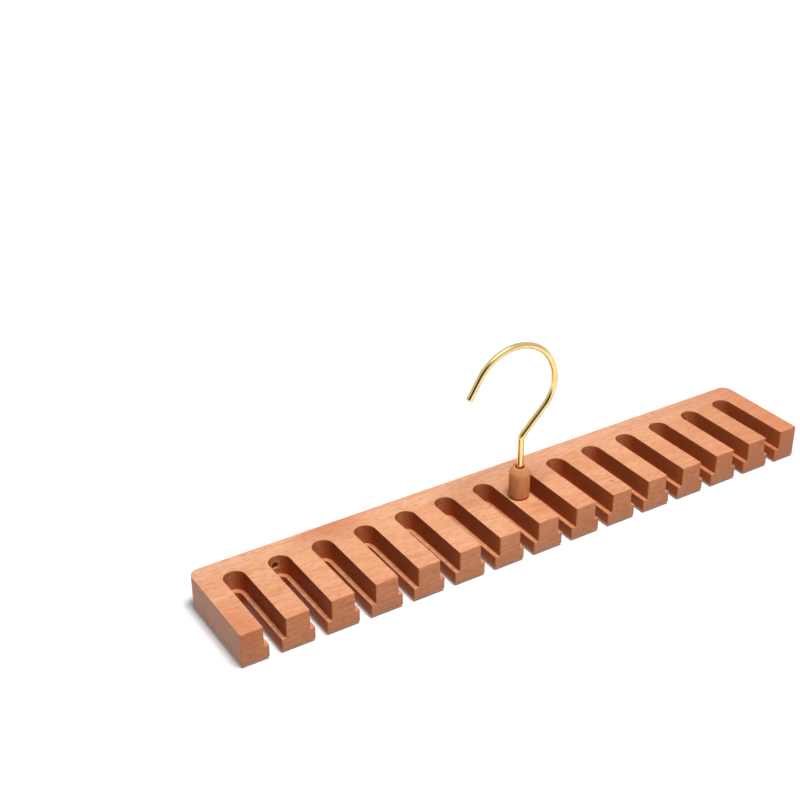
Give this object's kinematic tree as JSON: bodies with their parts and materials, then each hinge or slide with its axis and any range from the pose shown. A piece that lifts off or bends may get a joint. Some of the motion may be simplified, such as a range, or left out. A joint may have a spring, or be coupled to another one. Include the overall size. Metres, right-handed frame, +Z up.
{
  "type": "tie hanger",
  "caption": "Wooden bar with a row of stepped slots for ties or belts, hung from a brass-plated swivel hook in a turned ferrule.",
  "frame": {"origin": "under the middle of the bar, on the surface that it rests on", "axes": "+X along the bar, +Y from the slot mouths to the back edge, +Z up along the hook's shank"},
  "size_m": [0.38, 0.0626, 0.1182],
  "materials": {
    "bar_beech": "satin lacquer",
    "ferrule_beech": "satin lacquer",
    "hook_brass": "polished plating",
    "fastener_steel": "bright zinc"
  },
  "bodies": {
    "bar": {"slotted_bar": "bar_beech", "hook_ferrule": "ferrule_beech", "thrust_washer": "fastener_steel"},
    "hook": {"swivel_hook": "hook_brass", "hook_nut": "fastener_steel"}
  },
  "joints": [
    {"name": "hook_swivel", "type": "hinge", "parent": "bar", "child": "hook", "pos_m": [0, -0.0026, 0.02], "axis": [0, 0, 1], "continuous": true}
  ]
}
